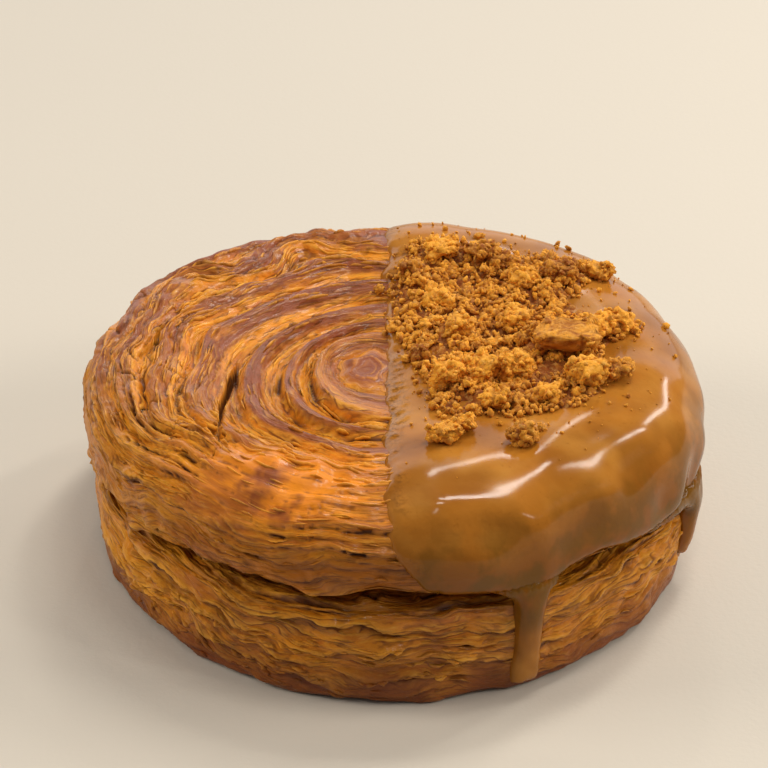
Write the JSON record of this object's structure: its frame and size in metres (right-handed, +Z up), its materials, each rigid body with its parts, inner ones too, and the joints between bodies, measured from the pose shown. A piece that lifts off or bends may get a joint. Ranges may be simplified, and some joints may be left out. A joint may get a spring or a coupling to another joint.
{
  "type": "croissant roll",
  "caption": "Round, flat-sided laminated pastry with a spiral of browned layers on top, one half coated in caramel icing that drips down the side, under a heap of biscuit crumbs.",
  "frame": {"origin": "centre of the flat base, on the surface that the roll rests on", "axes": "+Z up through the flat base and the spiral top, +X towards the iced half, so that the icing's straight edge across the top runs along Y"},
  "size_m": [0.1079, 0.1092, 0.0457],
  "materials": {
    "pastry": "satin, browned crests and golden valleys",
    "icing": "glossy caramel",
    "crumbs": "matt, porous"
  },
  "bodies": {
    "root": {"roll": "pastry", "icing": "icing", "crumb_heap": "crumbs"}
  },
  "joints": []
}
